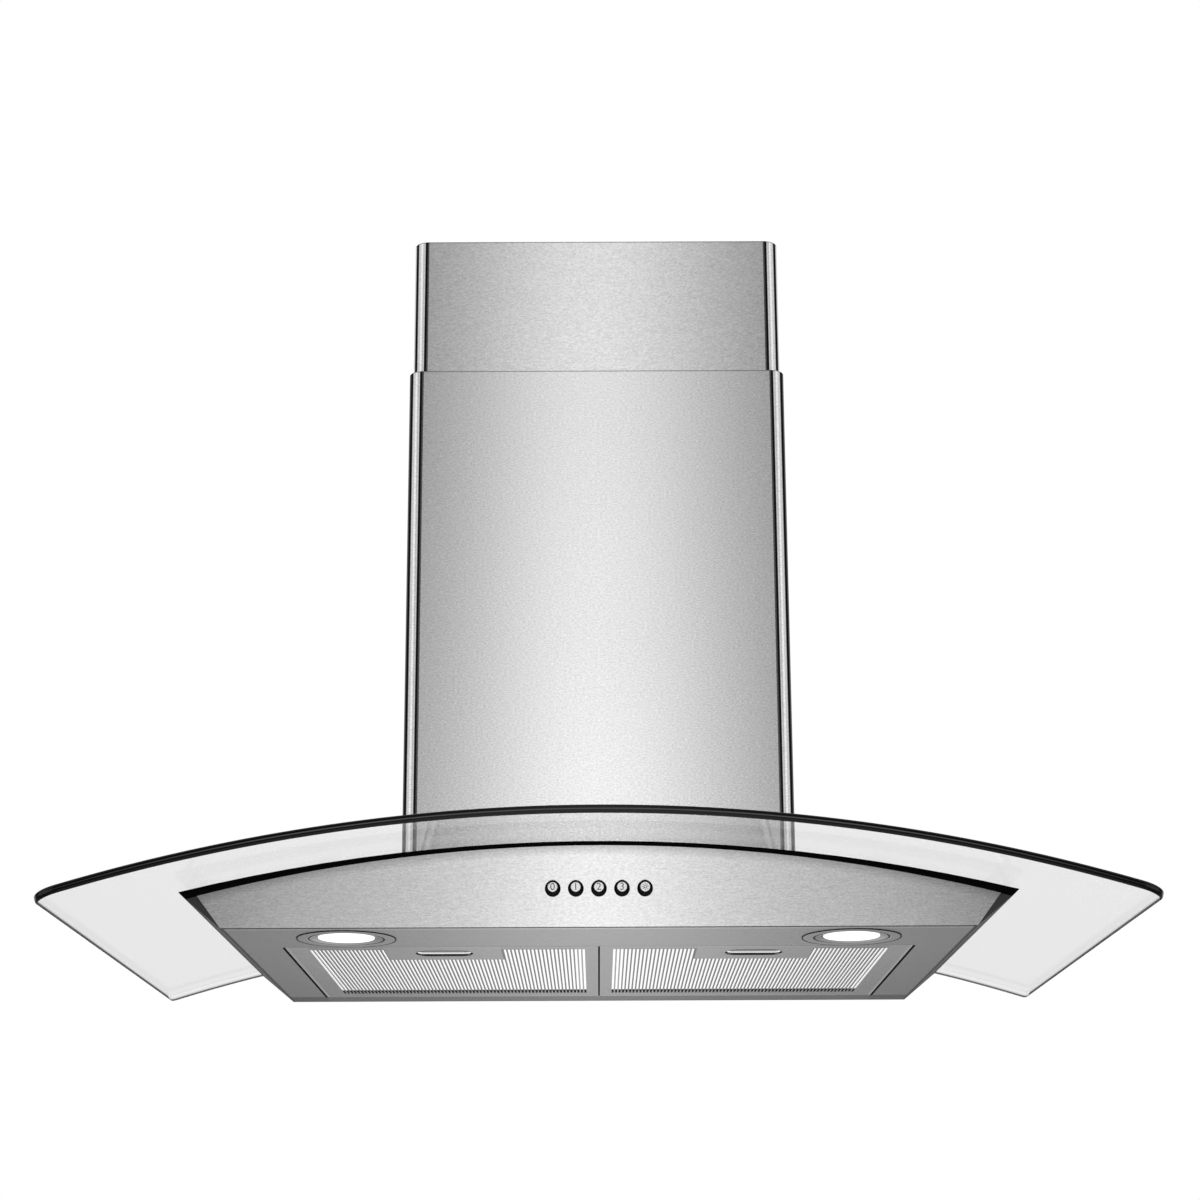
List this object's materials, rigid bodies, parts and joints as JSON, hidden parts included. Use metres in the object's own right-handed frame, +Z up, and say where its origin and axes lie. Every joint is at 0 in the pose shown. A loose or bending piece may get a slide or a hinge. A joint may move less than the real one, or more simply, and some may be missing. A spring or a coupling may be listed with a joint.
{
  "type": "wall mount range hood",
  "caption": "Wall mount range hood with a bent glass canopy, slanted push-button panel, round lamps, slotted grease filters and a telescoping chimney.",
  "frame": {"origin": "centre of the rectangle of four wall screw holes, on the rear face of the back plate, in the plane of the wall", "axes": "+X to the right as seen from the front, +Y into the wall, +Z up; the front of the hood faces -Y"},
  "size_m": [0.762, 0.502, 0.6098],
  "materials": {
    "stainless": "brushed",
    "canopy_glass": "clear, polished edge",
    "black_rubber": "matt",
    "chrome": "polished",
    "dark_paint": "satin",
    "zinc_steel": "zinc coated",
    "black_plastic": "moulded",
    "grey_plastic": "moulded",
    "white_plastic": "moulded",
    "green_board": "board",
    "white_board": "lacquered",
    "spring_steel": "drawn wire",
    "button_chrome": "polished",
    "bezel_steel": "turned",
    "lamp_lens": "frosted, lit",
    "reflector": "bright",
    "filter_steel": "brushed",
    "filter_aluminium": "bright mesh",
    "flap_aluminium": "mill",
    "motor_paint": "satin",
    "lead_jacket": "smooth"
  },
  "bodies": {
    "hood_body": {"glass_canopy": "canopy_glass", "glass_gasket": "black_rubber", "glass_washers": "black_rubber", "glass_screws": "chrome", "front_fascia": "stainless", "underside_panel": "stainless", "left_side_panel": "dark_paint", "right_side_panel": "dark_paint", "back_panel": "zinc_steel", "top_deck": "zinc_steel", "filter_rail": "stainless", "switch_housing": "black_plastic", "switch_board": "green_board", "button_springs": "spring_steel", "lamp_bezel_left": "bezel_steel", "lamp_bezel_right": "bezel_steel", "lamp_lens_left": "lamp_lens", "lamp_lens_right": "lamp_lens", "lamp_reflector_left": "reflector", "lamp_reflector_right": "reflector", "lamp_board_left": "white_board", "lamp_board_right": "white_board", "lower_chimney": "stainless", "lower_chimney_ties": "zinc_steel", "lower_chimney_screws": "chrome", "blower_box": "zinc_steel", "blower_cover": "zinc_steel", "cover_screws": "chrome", "intake_guard": "black_plastic", "scroll_housing": "grey_plastic", "motor": "motor_paint", "motor_mount": "zinc_steel", "motor_screws": "chrome", "capacitor": "white_plastic", "duct_adapter": "black_plastic", "damper_rod": "spring_steel", "control_box": "black_plastic", "terminal_block": "white_plastic", "cable_gland": "black_plastic", "internal_leads": "lead_jacket"},
    "upper_chimney": {"upper_chimney": "stainless", "upper_chimney_bracket": "zinc_steel", "upper_chimney_screws": "chrome"},
    "filter_left": {"filter_frame_left": "filter_steel", "filter_mesh_left": "filter_aluminium", "latch_spring_left": "spring_steel"},
    "filter_right": {"filter_frame_right": "filter_steel", "filter_mesh_right": "filter_aluminium", "latch_spring_right": "spring_steel"},
    "latch_left": {"filter_latch_left": "filter_steel"},
    "latch_right": {"filter_latch_right": "filter_steel"},
    "fan_wheel": {"impeller": "grey_plastic", "motor_shaft": "spring_steel"},
    "damper_front": {"damper_flap_front": "flap_aluminium"},
    "damper_rear": {"damper_flap_rear": "flap_aluminium"},
    "button_off": {"button_off": "button_chrome"},
    "button_low": {"button_low": "button_chrome"},
    "button_medium": {"button_medium": "button_chrome"},
    "button_high": {"button_high": "button_chrome"},
    "button_light": {"button_light": "button_chrome"}
  },
  "joints": [
    {"name": "button_off_press", "type": "slide", "parent": "hood_body", "child": "button_off", "axis": [0, 1, 0], "range_m": [0, 0.003], "stiffness_N_per_m": 500, "springref_m": -0.002, "deforming": ["button_springs"]},
    {"name": "button_low_press", "type": "slide", "parent": "hood_body", "child": "button_low", "axis": [0, 1, 0], "range_m": [0, 0.003], "stiffness_N_per_m": 500, "springref_m": -0.002, "deforming": ["button_springs"]},
    {"name": "button_medium_press", "type": "slide", "parent": "hood_body", "child": "button_medium", "axis": [0, 1, 0], "range_m": [0, 0.003], "stiffness_N_per_m": 500, "springref_m": -0.002, "deforming": ["button_springs"]},
    {"name": "button_high_press", "type": "slide", "parent": "hood_body", "child": "button_high", "axis": [0, 1, 0], "range_m": [0, 0.003], "stiffness_N_per_m": 500, "springref_m": -0.002, "deforming": ["button_springs"]},
    {"name": "button_light_press", "type": "slide", "parent": "hood_body", "child": "button_light", "axis": [0, 1, 0], "range_m": [0, 0.003], "stiffness_N_per_m": 500, "springref_m": -0.002, "deforming": ["button_springs"]},
    {"name": "filter_left_tilt", "type": "hinge", "parent": "hood_body", "child": "filter_left", "pos_m": [-0.1186, -0.0325, -0.2293], "axis": [1, 0, 0], "range_deg": [0, 80]},
    {"name": "latch_left_pull", "type": "slide", "parent": "filter_left", "child": "latch_left", "axis": [0, 1, 0], "range_m": [0, 0.005], "stiffness_N_per_m": 300, "springref_m": -0.003, "deforming": ["latch_spring_left"]},
    {"name": "filter_right_tilt", "type": "hinge", "parent": "hood_body", "child": "filter_right", "pos_m": [0.1186, -0.0325, -0.2293], "axis": [1, 0, 0], "range_deg": [0, 80]},
    {"name": "latch_right_pull", "type": "slide", "parent": "filter_right", "child": "latch_right", "axis": [0, 1, 0], "range_m": [0, 0.005], "stiffness_N_per_m": 300, "springref_m": -0.003, "deforming": ["latch_spring_right"]},
    {"name": "chimney_telescope", "type": "slide", "parent": "hood_body", "child": "upper_chimney", "axis": [0, 0, 1], "range_m": [-0.11, 0.24]},
    {"name": "fan_spin", "type": "hinge", "parent": "hood_body", "child": "fan_wheel", "pos_m": [0, -0.096, -0.065], "axis": [1, 0, 0], "continuous": true},
    {"name": "damper_front_swing", "type": "hinge", "parent": "hood_body", "child": "damper_front", "pos_m": [0, -0.126, 0.11], "axis": [-1, 0, 0], "range_deg": [0, 75]},
    {"name": "damper_rear_swing", "type": "hinge", "parent": "hood_body", "child": "damper_rear", "pos_m": [0, -0.126, 0.11], "axis": [1, 0, 0], "range_deg": [0, 75]}
  ]
}
